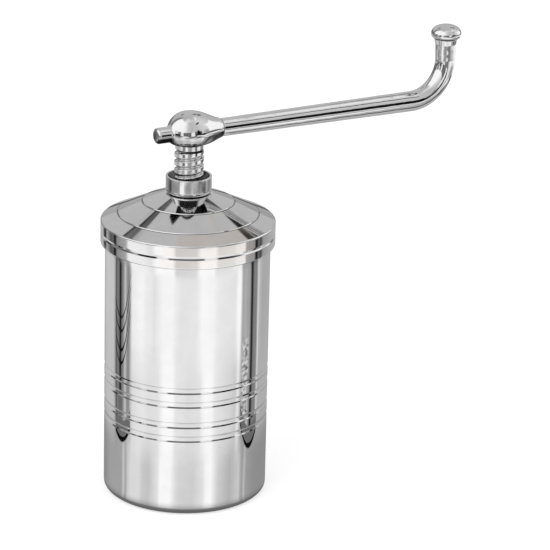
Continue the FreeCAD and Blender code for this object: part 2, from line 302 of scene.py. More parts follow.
def piece(name, grid, body, material, nodes, loop=False):
    """Closed mesh through a grid of points, ring by ring. loop joins the last ring to the first; otherwise
    a fan closes each end. The piece rides on its body and stands for its CAD nodes."""
    rings, columns = grid.shape[:2]
    index = np.arange(rings * columns).reshape(rings, columns)
    if loop:
        lower, upper = index, np.roll(index, -1, axis=0)
    else:
        lower, upper = index[:-1], index[1:]
    quads = np.stack([lower, np.roll(lower, -1, axis=1), np.roll(upper, -1, axis=1), upper], axis=2)
    points = grid.reshape(-1, 3)
    faces = quads.reshape(-1, 4).tolist()
    if not loop:
        for ring, flip in ((index[0], True), (index[-1], False)):
            middle = len(points)
            points = np.vstack([points, points[ring].mean(axis=0)])
            fan = np.stack([ring, np.roll(ring, -1), np.full(columns, middle)], axis=1)
            faces += (fan[:, ::-1] if flip else fan).tolist()
    mesh = bpy.data.meshes.new(name)
    mesh.from_pydata((points * MM).tolist(), [], faces)
    shell = bmesh.new()
    shell.from_mesh(mesh)
    bmesh.ops.recalc_face_normals(shell, faces=shell.faces)
    shell.to_mesh(mesh)
    shell.free()
    mesh.polygons.foreach_set("use_smooth", [True] * len(mesh.polygons))
    mesh.set_sharp_from_angle(angle=SHARP_CORNER)
    mesh.materials.append(material)
    made = bpy.data.objects.new(name, mesh)
    bpy.context.scene.collection.objects.link(made)
    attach(made, body)
    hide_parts(*nodes)
    return made


def tone(grey):
    """Amount of light of a grey as the eye sees it."""
    return ((grey + 0.055) / 1.055) ** 2.4


def grey_colour(grey):
    return (tone(grey), tone(grey), tone(grey), 1)


def on_compass(stops):
    """Stops by bearing in degrees, moved to a scale on which the full circle runs from 0 to 1."""
    return [(bearing / 360 + 0.5, grey) for bearing, grey in stops]


WHITE = (1, 1, 1, 1)


class Wires:
    """Short ways to add and join the nodes of one node tree."""

    def __init__(self, tree):
        self.tree = tree

    def node(self, kind, **settings):
        made = self.tree.nodes.new(kind)
        for name, value in settings.items():
            setattr(made, name, value)
        return made

    def put(self, socket, value):
        if isinstance(value, bpy.types.NodeSocket):
            self.tree.links.new(value, socket)
        else:
            socket.default_value = value

    def math(self, operation, *values):
        made = self.node("ShaderNodeMath", operation=operation)
        for socket, value in zip(made.inputs, values):
            self.put(socket, value)
        return made.outputs[0]

    def times(self, first, second):
        return self.math("MULTIPLY", first, second)

    def length(self, first, second):
        """Root of the sum of two squares."""
        return self.math("SQRT", self.math("ADD", self.times(first, first), self.times(second, second)))

    def dot(self, vector, direction):
        made = self.node("ShaderNodeVectorMath", operation="DOT_PRODUCT")
        self.put(made.inputs[0], vector)
        self.put(made.inputs[1], direction)
        return made.outputs["Value"]

    def split(self, vector):
        made = self.node("ShaderNodeSeparateXYZ")
        self.put(made.inputs[0], vector)
        return made.outputs

    def join(self, x, y, z):
        made = self.node("ShaderNodeCombineXYZ")
        for socket, value in zip(made.inputs, (x, y, z)):
            self.put(socket, value)
        return made.outputs[0]

    def steps(self, value, low, high, to_low=0.0, to_high=1.0):
        """Smooth change from one level to another while the value goes from low to high."""
        made = self.node("ShaderNodeMapRange", interpolation_type="SMOOTHSTEP")
        for socket, number in zip(made.inputs, (value, low, high, to_low, to_high)):
            self.put(socket, number)
        return made.outputs[0]

    def window(self, value, low, high, soft):
        """1 between two values and 0 outside them, with soft edges."""
        rise = self.steps(value, low - soft, low + soft)
        fall = self.steps(value, high - soft, high + soft, 1.0, 0.0)
        return self.times(rise, fall)

    def ramp(self, value, stops):
        """Grey along a value from 0 to 1, from stops (place, grey)."""
        made = self.node("ShaderNodeValToRGB")
        elements = made.color_ramp.elements
        for place, grey in stops[2:]:
            elements.new(place)
        for element, (place, grey) in zip(elements, stops):
            element.position = place
            element.color = grey_colour(grey)
        self.put(made.inputs[0], value)
        return made.outputs[0]

    def mix(self, share, first, second, blend="MIX"):
        made = self.node("ShaderNodeMix", data_type="RGBA", blend_type=blend)
        self.put(made.inputs[0], share)
        self.put(made.inputs[6], first)
        self.put(made.inputs[7], second)
        return made.outputs[2]

    def bump(self, height, depth, normal):
        made = self.node("ShaderNodeBump")
        made.inputs["Strength"].default_value = 1.0
        made.inputs["Distance"].default_value = depth
        self.put(made.inputs["Height"], height)
        if normal is not None:
            self.put(made.inputs["Normal"], normal)
        return made.outputs[0]

    def noise(self, vector, scale, detail):
        made = self.node("ShaderNodeTexNoise")
        self.put(made.inputs["Vector"], vector)
        self.put(made.inputs["Scale"], scale)
        self.put(made.inputs["Detail"], detail)
        return made.outputs[0]


# Polishing of the steel
fine_detail = 3.0          # levels of detail in the noise of lines and patches
wave_detail = 1.0          # and of long waves and blotches
round_lines = 6000         # scale of the lines' noise, for each way that they run
upward_lines = 1800
crossing_lines = 2500
round_stretch = 0.002      # lines round the axis: how little they change along their way
upward_girth = 0.036       # lines up the barrel: its radius in metres, which turns an angle into a length
upward_stretch = 0.01      # and how little they change upwards
patch_scale = 160.0
patch_range = (0.3, 0.7)
gloss_range = (0.35, 0.7)
patch_dullest = 0.96       # share of the grey that is left in the dullest patch
painted_shade_softness = 0.1      # millimetres over which a band of painted shade fades in and out
bore_edge_width = 0.2      # millimetres over which the bore's finish starts
bore_rise = 2
bore_roughness = 0.4
bore_dulling = -0.15       # change of the metal's share in the bore
# Painted shade on faces that look down: upward part of the normal from and to, and share of the light left
# below
below_dim = (-0.32, 0.0, 0.6)
below_dark = (-0.56, -0.3, 0.06)
# More painted shade past the screw: upward part of the normal from and to, radii from and to, and share of
# the light lost
outer_slopes = (-0.2, 0.04)
outer_radii = (9, 11)
outer_loss = 0.92


def polishing_lines(wires, lines, place, radius, height, angle):
    """Fine noise, stretched along the way that the lines run: round the Z axis, up it, or not at all."""
    if lines == "round":
        line_place = wires.join(wires.times(angle, round_stretch), radius, height)
        scale = round_lines
    elif lines == "up":
        line_place = wires.join(wires.times(angle, upward_girth), 0.0, wires.times(height, upward_stretch))
        scale = upward_lines
    else:
        line_place = place
        scale = crossing_lines
    return wires.noise(line_place, scale, fine_detail)


def painted_shade_below(wires, shade, radius):
    """Painted shade on faces that look down: their grey dimmed in three steps by how far the face's normal
    points down, the last one only where the radius is past the screw and its neck."""
    up = wires.split(wires.node("ShaderNodeNewGeometry").outputs["Normal"])[2]
    shade = wires.times(shade, wires.steps(up, *below_dim, 1.0))
    shade = wires.times(shade, wires.steps(up, *below_dark, 1.0))
    looks_down = wires.steps(up, *outer_slopes, 1.0, 0.0)
    inner, outer = outer_radii
    away = wires.steps(radius, inner * MM, outer * MM, 0.0, outer_loss)
    return wires.times(shade, wires.math("SUBTRACT", 1.0, wires.times(looks_down, away)))


def steel(name, grey, roughness, lines, line_depth, waves, tint=(1, 1, 1), painted_shade_bands=(), shaded_below=False,
          satin_bore=None):
    """Polished or turned metal. Its polishing lines run "round" the Z axis, "up" it, or "every way". Waves
    (size, depth) make reflections waver, and patches differ a little in grey and in gloss. Painted shade
    darkens creases, in bands ("radius" or "height", from, to, share of the light left), and if asked for,
    the faces that look down. The polishing wheel doesn't reach into a satin_bore (radius, lowest height)."""
    material = bpy.data.materials.new(name)
    material.use_nodes = True
    wires = Wires(material.node_tree)
    shader = material.node_tree.nodes["Principled BSDF"]
    place = wires.node("ShaderNodeTexCoord").outputs["Object"]
    x, y, z = wires.split(place)
    radius = wires.length(x, y)
    angle = wires.math("ARCTAN2", y, x)
    fine = polishing_lines(wires, lines, place, radius, z, angle)
    patches = wires.noise(place, patch_scale, fine_detail)
    shade = wires.steps(patches, *patch_range, patch_dullest * grey, grey)
    # Painted shade: each band darkens the grey in a crease
    for way, low, high, left in painted_shade_bands:
        measure = radius if way == "radius" else z
        painted_shade_band = wires.window(measure, low * MM, high * MM, painted_shade_softness * MM)
        shade = wires.times(shade, wires.math("MULTIPLY_ADD", painted_shade_band, left - 1, 1.0))
    # Painted shade on the faces that look down
    if shaded_below:
        shade = painted_shade_below(wires, shade, radius)
    colour = wires.join(*[wires.times(shade, part) for part in tint])
    wires.put(shader.inputs["Base Color"], colour)
    shader.inputs["Metallic"].default_value = 1.0
    rough = wires.steps(patches, *gloss_range, *roughness)
    if satin_bore:
        bore_radius, bore_bottom = satin_bore
        within = wires.steps(radius, (bore_radius - bore_edge_width) * MM, bore_radius * MM, 1.0, 0.0)
        above = wires.steps(z, bore_bottom * MM, (bore_bottom + bore_rise) * MM)
        inside = wires.times(within, above)
        rough = wires.math("MAXIMUM", rough, wires.times(inside, bore_roughness))
        wires.put(shader.inputs["Metallic"], wires.math("MULTIPLY_ADD", inside, bore_dulling, 1.0))
    wires.put(shader.inputs["Roughness"], rough)
    normal = None
    for size, depth in waves:
        normal = wires.bump(wires.noise(place, 1 / (size * MM), wave_detail), depth * MM, normal)
    wires.put(shader.inputs["Normal"], wires.bump(fine, line_depth * MM, normal))
    return material


def barrel_finish():
    """Drawn tube, polished upwards, with painted shade at the edges of its grooves, and satin in its bore.
    """
    edges = [height + side * (groove_width / 2 - 0.1) for height in groove_heights for side in (-1, 1)]
    return steel("barrel_steel", grey=0.97, roughness=(0.02, 0.05), lines="up", line_depth=0.0003,
                 waves=[(30, 0.02)],
                 painted_shade_bands=[("height", edge - 0.15, edge + 0.15, 0.72) for edge in edges],
                 satin_bore=(barrel_radius - barrel_wall / 2, foot_rounding))


def lid_finish():
    """Spun sheet, with painted shade along the steps of the cone and at the skirt's lower edge."""
    radii = (outer_ring_radius, inner_ring_radius)
    rings = [("radius", ring + ring_start, ring + 0.5, 0.3) for ring in radii]
    return steel("lid_steel", grey=0.96, roughness=(0.04, 0.08), lines="round", line_depth=0.0006,
                 waves=[(25, 0.02)],
                 painted_shade_bands=rings + [("height", skirt_bottom - 0.2, skirt_bottom + 0.25, 0.3)])


def collar_finish():
    """Turned steel, with painted shade that makes its dish nearly black, where little light reaches."""
    return steel("collar_steel", grey=0.95, roughness=(0.04, 0.09), lines="round", line_depth=0.001,
                 waves=[(12, 0.02)],
                 painted_shade_bands=[("radius", 0, collar_radius - collar_rim - 0.15, 0.12)])


def screw_finish():
    """Rolled thread, with painted shade that makes its roots dimmer and darkens where the neck starts and
    where it meets the hub.
    """
    neck = hub_bottom - screw_neck_length
    return steel("screw_steel", grey=0.95, roughness=(0.05, 0.11), lines="round", line_depth=0.001,
                 waves=[(4, 0.02)],
                 painted_shade_bands=[("radius", 0, screw_radius - 0.5, 0.8),
                          ("height", neck - 0.3, neck + 0.4, 0.08),
                          ("height", hub_bottom - 0.7, hub_bottom + 0.3, 0.12)])


def hub_finish():
    """Hand-polished casting, wavy, with painted shade underneath."""
    return steel("hub_steel", grey=0.95, roughness=(0.03, 0.07), lines="every way", line_depth=0.0006,
                 waves=[(5, 0.06), (1.3, 0.006)], shaded_below=True)


def rod_finish():
    """Hand-polished rod, wavy all over."""
    return steel("rod_steel", grey=0.95, roughness=(0.03, 0.08), lines="every way", line_depth=0.0006,
                 waves=[(5, 0.07), (1.3, 0.007)])


def knob_finish():
    """Hand-polished knob, with painted shade where it sits on the post."""
    return steel("knob_steel", grey=0.95, roughness=(0.03, 0.07), lines="every way", line_depth=0.0006,
                 waves=[(5, 0.06), (1.3, 0.006)],
                 painted_shade_bands=[("height", knob_bottom - 0.3, knob_bottom + 0.7, 0.12)])


def sheet_finish():
    """Satin sheet of the piston, the die plate and the washer under the lid."""
    return steel("sheet_steel", grey=0.72, roughness=(0.22, 0.34), lines="round", line_depth=0.003,
                 waves=[(20, 0.02)])


def nut_finish():
    """Turned and milled steel of nuts, bush and retaining washer."""
    return steel("nut_steel", grey=0.7, roughness=(0.2, 0.32), lines="round", line_depth=0.002,
                 waves=[(10, 0.02)])


def brass_finish():
    """Turned brass of the thrust washer."""
    return steel("washer_brass", grey=0.85, roughness=(0.18, 0.3), lines="round", line_depth=0.002,
                 waves=[(10, 0.02)], tint=(1.0, 0.8, 0.45))


def make_barrel(material):
    """Drawn tube: its section goes up the outside over four shallow grooves, over the rim and down the bore
    to the lip. The neck's thread is a ridge that stands out by a power of its phase's cosine, less near
    both ends. The phase grows by one per pitch of height and falls by one per turn."""
    bore = barrel_radius - barrel_wall
    mouth = bore - lip_reach
    groove_radius = barrel_radius - groove_depth
    corners = [(mouth, 0, soft_edge), (barrel_radius, 0, foot_rounding)]
    for height in groove_heights:
        corners += [(barrel_radius, height - groove_width / 2, groove_rounding),
                    (groove_radius, height - groove_floor / 2, groove_rounding),
                    (groove_radius, height + groove_floor / 2, groove_rounding),
                    (barrel_radius, height + groove_width / 2, groove_rounding)]
    outside = rounded(corners + [(barrel_radius, neck_thread_bottom, 0)], closed=False)
    thread_rows = np.linspace(neck_thread_bottom, neck_thread_top, NECK_THREAD_STEPS)[1:]
    thread = np.stack([np.full(len(thread_rows), barrel_radius), thread_rows], axis=1)
    inside = rounded([
        (barrel_radius, neck_thread_top, 0),
        (barrel_radius, barrel_top, broad_edge),
        (bore, barrel_top, broad_edge),
        (bore, lip_thickness, bent_sheet),
        (mouth, lip_thickness, soft_edge),
        (mouth, soft_edge, 0),
    ], closed=False)[1:]
    grid = turn(np.concatenate([outside, thread, inside]), WIDE_RING)
    ridge_rows = slice(len(outside), len(outside) + len(thread))
    rows = grid[ridge_rows]
    height = rows[:, :, 2]
    phase = height / neck_thread_pitch - ring_angles(WIDE_RING) / (2 * math.pi)
    ridge = np.clip(np.cos(2 * math.pi * phase), 0, 1) ** neck_thread_sharpness
    start = np.clip((height - neck_thread_bottom) / neck_thread_fade, 0, 1)
    end = np.clip((neck_thread_top - height) / neck_thread_fade, 0, 1)
    fade = start * end
    growth = 1 + neck_thread_height * ridge * fade / barrel_radius
    rows[:, :, :2] *= growth[:, :, None]
    return piece("barrel_shell", grid, "barrel", material, ["barrel"], loop=True)


def make_lid(material):
    """Spun lid: the section goes up the skirt over its groove, up the stepped cone to the collar's seat,
    and back along the inside of the sheet. Each step of the cone is a short steep run between slopes."""
    edge = collar_seat - lid_edge_drop
    groove = edge - skirt_groove_drop
    outer_height = edge + (lid_radius - outer_ring_radius) * math.tan(outer_slope)
    middle_rise = (outer_ring_radius - inner_ring_radius) * math.tan(middle_slope)
    inner_height = outer_height + ring_step + middle_rise
    hole = neck_radius + fit
    inside = lid_radius - sheet
    under_seat = collar_seat - sheet
    steps = []
    for ring, height in ((outer_ring_radius, outer_height), (inner_ring_radius, inner_height)):
        steps += [(ring + ring_start, height, fine_edge),
                  (ring - ring_end, height + ring_step + ring_end, fine_edge)]
    profile = rounded([
        (inside, skirt_bottom, soft_edge),
        (lid_radius, skirt_bottom, lid_foot_rounding),
        (lid_radius, groove - skirt_groove_width / 2, broad_edge),
        (lid_radius - skirt_groove_depth, groove, broad_edge),
        (lid_radius, groove + skirt_groove_width / 2, broad_edge),
        (lid_radius, edge, lid_edge_rounding),
        *steps,
        (seat_radius, collar_seat, seat_rounding),
        (hole, collar_seat, 0),
        (hole, under_seat, 0),
        (seat_radius, under_seat, seat_rounding),
        (inner_ring_radius, inner_height + ring_step - sheet / math.cos(inner_slope), seat_rounding),
        (outer_ring_radius, outer_height + ring_step - sheet / math.cos(middle_slope), seat_rounding),
        (inside, edge + sheet * math.tan(outer_slope) - sheet / math.cos(outer_slope), bent_sheet),
    ], closed=True)
    return piece("lid_shell", turn(profile, WIDE_RING), "lid", material, ["lid"], loop=True)


def make_collar(material):
    """Turned collar: a section of rounded foot, upright side, narrow rim and dished top, and of the neck
    under it with its bore."""
    bottom = nut_low[2]
    dish_radius = collar_radius - collar_rim
    dish_depth = (dish_radius - neck_thread_bore) * math.tan(dish_slope)
    profile = rounded([
        (neck_thread_bore, bottom, fine_edge),
        (neck_radius, bottom, broad_edge),
        (neck_radius, collar_seat, 0),
        (collar_radius, collar_seat, collar_foot_rounding),
        (collar_radius, collar_top, collar_rim_rounding),
        (dish_radius, collar_top, collar_dish_rounding),
        (neck_thread_bore, collar_top - dish_depth, fine_edge),
    ], closed=True)
    return piece("collar", turn(profile, BALL_RING), "lid", material, ["drive_nut"], loop=True)


def make_screw(material):
    """Drive screw: over the threaded length the radius follows a rounded trapezium of the phase, which
    grows by one per pitch of height and falls by one per turn round the axis. Above are neck and tenon."""
    bottom = screw_low[2]
    thread_top = hub_bottom - screw_neck_length
    root = screw_radius - thread_depth
    foot = rounded([
        (journal_radius - journal_chamfer, bottom, 0),
        (journal_radius, bottom + journal_chamfer, 0),
        (journal_radius, shoulder_height, 0),
        (root, shoulder_height, 0),
    ], closed=False)
    head = rounded([
        (root, thread_top, 0),
        (screw_neck_radius, thread_top + screw_neck_shoulder, hair_edge),
        (screw_neck_radius, hub_bottom, 0),
        (tenon_radius, hub_bottom, 0),
        (tenon_radius, screw_high[2], 0),
    ], closed=False)
    rows = np.arange(shoulder_height + hair_edge / 2, thread_top, thread_pitch / PITCH_STEPS)
    angle = ring_angles(SMALL_RING)
    phase = (rows[:, None] - thread_top + thread_lead) / thread_pitch - angle[None, :] / (2 * math.pi)
    from_root = (0.5 - np.abs(phase - np.floor(phase) - 0.5)) * thread_pitch
    flank = (thread_pitch - thread_crest - thread_root) / 2
    rise = np.clip((from_root - thread_root / 2) / (flank + thread_crest_ease), 0, 1)
    rise = rise * rise * (3 - 2 * rise)
    start = np.clip((rows - shoulder_height) / thread_start_fade, 0, 1)
    end = np.clip((thread_top - rows) / thread_end_fade, 0, 1)
    fade = start * end
    radius = root + thread_depth * rise * fade[:, None]
    thread = np.stack([radius * np.cos(angle), radius * np.sin(angle),
                       np.broadcast_to(rows[:, None], radius.shape)], axis=2)
    grid = np.concatenate([turn(foot, SMALL_RING), thread, turn(head, SMALL_RING)])
    return piece("drive_screw", grid, "crank", material, ["spindle"])


def make_hub(material):
    """Cast hub: rings about the arm's axis along a section of nub, fillet, ball and drop-shaped lug, cut
    off flat below. The cut is soft: heights are eased to it by the logarithm of one plus their exponential.
    The casting wavers by the sine of a phase that grows along the lug and swings round it."""
    centre = -hub_shift
    reach = math.sqrt((hub_radius + nub_fillet) ** 2 - (nub_radius + nub_fillet) ** 2)
    lean = math.atan2(nub_radius + nub_fillet, reach)
    swing = np.linspace(-math.pi / 2, -lean, FILLET_STEPS)
    fillet = np.stack([centre - reach + nub_fillet * np.cos(swing),
                       nub_radius + nub_fillet + nub_fillet * np.sin(swing)], axis=1)
    sweep = np.linspace(math.pi - lean, math.pi / 2, BALL_STEPS)[1:]
    ball = np.stack([centre + hub_radius * np.cos(sweep), hub_radius * np.sin(sweep)], axis=1)
    lug_stop = lug_end - lug_end_chamfer
    lug = bezier([
        (centre, hub_radius),
        (centre + lug_start_pull, hub_radius),
        (lug_end - lug_end_pull, lug_end_radius + lug_end_swell),
        (lug_stop, lug_end_radius),
    ], LUG_STEPS)[1:]
    nub = rounded([
        (nub_end, nub_face_radius, 0),
        (nub_end, nub_radius, nub_rounding),
        (centre - reach, nub_radius, 0),
    ], closed=False)[:-1]
    end = rounded([
        (lug_stop, lug_end_radius, 0),
        (lug_end, lug_end_radius - lug_end_bevel, 0),
        (lug_end, lug_face_radius, 0),
    ], closed=False)[1:]
    section = np.concatenate([nub, fillet, ball, lug, end])
    angle = ring_angles(BALL_RING)
    along = section[:, 0:1] + 0 * angle
    across = section[:, 1:2] * np.cos(angle)
    above = section[:, 1:2] * np.sin(angle)
    lifted = above + hub_drop
    above = cut_softness * np.logaddexp(0, lifted / cut_softness) - hub_drop
    fullness = np.clip(section[:, 1:2] / hub_radius, 0, 1)
    phase = cast_waver_along * along + cast_waver_round * np.sin(3 * angle)
    waver = cast_waver * np.sin(phase) * fullness
    grid = np.stack([along, across * (1 + waver / hub_radius), arm_height + above], axis=2)
    return piece("ball_hub", grid, "crank", material, ["crank_hub"])


def make_rod(material):
    """Crank rod: round rings carried along the arm, a quarter turn and the post. The radius grows a little
    from the hub to the bend and flares at the top, and wavers by hundredths as hand-polished rod does, by a
    product of two sines. Each ring leans by the angle that the rod has turned there."""
    bend_start = post_x - bend_radius
    post_bottom = arm_height + bend_radius
    shoulder = lug_end + crevice
    shank = rounded([
        (shank_end, shank_radius - shank_chamfer, 0),
        (shank_end + shank_chamfer, shank_radius, 0),
        (shoulder, shank_radius, 0),
        (shoulder, rod_start_radius, rod_start_rounding),
        (shoulder + rod_start_run, rod_start_radius + rod_start_growth, 0),
    ], closed=False)
    level_x = np.linspace(lug_end + level_start, bend_start, LEVEL_STEPS)
    share = (level_x - lug_end) / (bend_start - lug_end)
    level_radius = rod_start_radius + (rod_radius - rod_start_radius) * share
    short, long = rod_waver_lengths
    level_radius += rod_waver * np.sin(level_x / short) * np.sin(level_x / long + 1.0)
    turn_angle = np.linspace(0, math.pi / 2, BEND_STEPS)[1:-1]
    bend = np.stack([bend_start + bend_radius * np.sin(turn_angle),
                     post_bottom - bend_radius * np.cos(turn_angle)], axis=1)
    post_top = knob_bottom
    post = rounded([
        (rod_radius, post_bottom, 0),
        (post_radius, post_top - flare_length, flare_rounding),
        (post_top_radius, post_top, soft_edge),
        (spigot_radius, post_top, 0),
        (spigot_radius, post_top + spigot_length, 0),
    ], closed=False)
    middle = np.concatenate([
        np.stack([shank[:, 0], np.full(len(shank), arm_height)], axis=1),
        np.stack([level_x, np.full(len(level_x), arm_height)], axis=1),
        bend,
        np.stack([np.full(len(post), post_x), post[:, 1]], axis=1),
    ])
    radius = np.concatenate([shank[:, 1], level_radius, np.full(len(bend), rod_radius), post[:, 0]])
    level = np.zeros(len(shank) + len(level_x))
    upright = np.full(len(post), math.pi / 2)
    lean = np.concatenate([level, turn_angle, upright])
    angle = ring_angles(SMALL_RING)
    upwards = radius[:, None] * np.sin(angle)
    grid = np.stack([
        middle[:, 0:1] - upwards * np.sin(lean)[:, None],
        radius[:, None] * np.cos(angle),
        middle[:, 1:2] + upwards * np.cos(lean)[:, None],
    ], axis=2)
    return piece("crank_rod", grid, "crank", material, ["crank_arm"])


def make_knob(material):
    """Mushroom knob: a section from its blind hole over the base, round the rim and up a low dome. The side
    is a curve drawn out by one pole, the dome a curve drawn out by two."""
    rim = knob_bottom + knob_rim
    pull = (knob_top - rim) / 2
    hole = spigot_radius + fit
    hole_end = knob_bottom + spigot_length + knob_hole_room
    base = rounded([
        (BLIND_PIN, hole_end, 0),
        (hole, hole_end, 0),
        (hole, knob_bottom, 0),
        (knob_base_radius - soft_edge, knob_bottom, 0),
    ], closed=False)
    side = bezier([
        (knob_base_radius - knob_foot_ease, knob_bottom + knob_foot_rise),
        (knob_radius, knob_bottom + knob_rim / 4),
        (knob_radius, rim),
    ], KNOB_SIDE_STEPS)
    dome = bezier([
        (knob_radius, rim),
        (knob_radius, rim + pull),
        (knob_radius - pull, knob_top),
        (PIN, knob_top),
    ], KNOB_DOME_STEPS)[1:]
    grid = turn(np.concatenate([base, side, dome]), KNOB_RING, centre=(post_x, 0))
    return piece("mushroom_knob", grid, "crank", material, ["grip_knob"])


def make_piston(cup_material, bush_material):
    """Pressed cup whose floor rises to a well in the middle, and the flanged bush in the well. Both are
    closed sections carried round the screw's axis."""
    outer = cup_high[0]
    bottom = cup_low[2]
    top = cup_high[2]
    floor_top = bottom + cup_floor
    well_underside = bush_low[2]
    well_top = well_underside + cup_floor
    hole = bush_radius + fit
    cup = rounded([
        (well_radius + well_flare, bottom, bent_sheet),
        (outer, bottom, cup_foot_rounding),
        (outer, top, broad_edge),
        (outer - cup_wall, top, broad_edge),
        (outer - cup_wall, floor_top, bent_sheet),
        (well_radius + well_wall + well_flare, floor_top, bent_sheet),
        (well_radius + well_wall, well_top, bent_sheet),
        (hole, well_top, 0),
        (hole, well_underside, 0),
        (well_radius, well_underside, well_rounding),
    ], closed=True)
    bush = rounded([
        (bush_bore, well_underside, fine_edge),
        (bush_radius, well_underside, fine_edge),
        (bush_radius, well_top, 0),
        (bush_flange_radius, well_top, hair_edge),
        (bush_flange_radius, bush_high[2], soft_edge),
        (bush_bore, bush_high[2], soft_edge),
    ], closed=True)
    piece("pressing_cup", turn(cup, CUP_RING), "piston", cup_material, ["piston_cup"], loop=True)
    piece("swivel_bush", turn(bush, SMALL_RING), "piston", bush_material, ["piston_bush"], loop=True)


def make_washer(name, node, inner, body, material):
    """Flat ring between the two faces that the frame gives: a rectangle with eased corners, carried round
    the screw's axis."""
    low, high = span(node)
    section = rounded([
        (inner, low[2], bore_edge),
        (high[0], low[2], fine_edge),
        (high[0], high[2], fine_edge),
        (inner, high[2], bore_edge),
    ], closed=True)
    return piece(name, turn(section, SMALL_RING), body, material, [node], loop=True)


def make_hexagon_nut(name, node, inner, body, material):
    """Hexagon nut: the radius is half the flats over the cosine of the angle from the nearest flat's
    middle, and no more than a chamfer allows, which takes the corners off near both faces."""
    low, high = span(node)
    half_flats = high[1]
    corner = half_flats / math.cos(math.pi / 6)
    face = half_flats * nut_face_share
    from_flat = np.mod(ring_angles(NUT_RING), math.pi / 3) - math.pi / 6
    hexagon = half_flats / np.cos(from_flat)
    section = rounded([
        (inner, low[2], bore_edge),
        (face, low[2], 0),
        (corner, low[2] + nut_chamfer_height, 0),
        (corner, high[2] - nut_chamfer_height, 0),
        (face, high[2], 0),
        (inner, high[2], bore_edge),
    ], closed=True)
    grid = turn(section, NUT_RING)
    flat = np.hypot(grid[:, :, 0], grid[:, :, 1])
    growth = np.minimum(flat, hexagon) / flat
    grid[:, :, :2] *= growth[:, :, None]
    return piece(name, grid, body, material, [node], loop=True)


# Camera, at the photograph's viewing angle
view_target = Vector((33.09, -19.10, 99.5)) * MM
view_azimuth = math.radians(-30)
view_elevation = math.radians(19.435)
view_distance = 1300 * MM
view_roll = math.radians(1.437)
view_lens = 195.1
view_sensor = 36
to_camera = Vector((math.sin(view_azimuth), -math.cos(view_azimuth), 0))
to_right = Vector((math.cos(view_azimuth), math.sin(view_azimuth), 0))


def make_camera():
    """Camera at its distance from the target, with its axes worked out from azimuth, elevation and roll."""
    back = to_camera * math.cos(view_elevation) + Vector((0, 0, math.sin(view_elevation)))
    level_up = back.cross(to_right)
    right = to_right * math.cos(view_roll) + level_up * math.sin(view_roll)
    up = level_up * math.cos(view_roll) - to_right * math.sin(view_roll)
    data = bpy.data.cameras.new("photo_camera")
    data.lens = view_lens
    data.sensor_width = view_sensor
    camera = bpy.data.objects.new("photo_camera", data)
    eye = view_target + back * view_distance
    camera.matrix_world = Matrix((
        (right.x, up.x, back.x, eye.x),
        (right.y, up.y, back.y, eye.y),
        (right.z, up.z, back.z, eye.z),
        (0, 0, 0, 1),
    ))
    bpy.context.scene.collection.objects.link(camera)
    bpy.context.scene.camera = camera


# What the polished steel mirrors, as greys on a scale from 0 (black) to 1 (white) as the eye sees them.
# Round the studio's walls and ceiling, by bearing in degrees from the camera's side, positive to the right
low_walls = [
    (-180, 0.68), (-165, 0.66), (-155, 0.45), (-122, 0.4), (-104, 0.42), (-96, 0.7), (-86, 0.72),
    (-80, 0.45), (-70, 0.5), (-62, 0.9), (-54, 0.9), (-51, 0.5), (-38, 0.5), (-35, 0.93), (-24, 0.93),
    (-21, 0.42), (21, 0.42), (24, 0.93), (37, 0.93), (40, 0.4), (51, 0.36), (53, 0.06), (63, 0.06),
    (65, 0.3), (71, 0.3), (74, 0.85), (88, 0.6), (97, 0.97), (132, 0.97), (140, 0.6), (165, 0.6),
    (180, 0.68),
]
high_walls = [
    (-180, 0.73), (-140, 0.72), (-126, 0.66), (-121, 0.48), (-110, 0.48), (-104, 0.9), (-97, 0.99),
    (-24, 0.99), (-13, 0.94), (-4, 0.87), (8, 0.78), (25, 0.73), (60, 0.76), (82, 0.82), (95, 0.84),
    (120, 0.8), (134, 0.75), (150, 0.72), (180, 0.73),
]
ceiling = [
    (-180, 0.71), (-110, 0.7), (-75, 0.72), (-45, 0.78), (-20, 0.86), (20, 0.85), (60, 0.8), (95, 0.74),
    (130, 0.72), (180, 0.71),
]
# Boxes and gaps in the walls: bearings from and to, heights from and to (sine of the elevation), grey
wall_patches = [
    (94, 131, -0.3, 0.5, 0.98), (53, 63, -0.1, 0.3, 0.06), (62, 88, 0.69, 0.76, 0.22),
    (92, 140, 0.85, 0.885, 0.92), (-161, -154, 0.684, 0.757, 0.35), (-154, -149.5, 0.672, 0.748, 0.35),
    (-149.5, -144, 0.716, 0.788, 0.35), (-161, -154, 0.684, 0.7, 0.12), (-154, -149.5, 0.672, 0.69, 0.16),
    (-149.5, -144, 0.722, 0.74, 0.18), (158.5, 164, 0.643, 0.756, 0.3), (158.5, 164, 0.705, 0.756, 0.1),
    (154.8, 158.5, 0.575, 0.645, 0.32), (154.8, 158.5, 0.608, 0.645, 0.1),
    (149.5, 154.8, 0.605, 0.712, 0.3), (149.5, 154.8, 0.662, 0.716, 0.05),
]
# Where the light behind the press is warmer: bearings from and to, heights from and to
warm_patches = [
    (152, 158, 0.6, 0.866), (159, 166, 0.86, 0.9), (166, 183, 0.893, 0.92), (-183, -168, 0.893, 0.92),
]
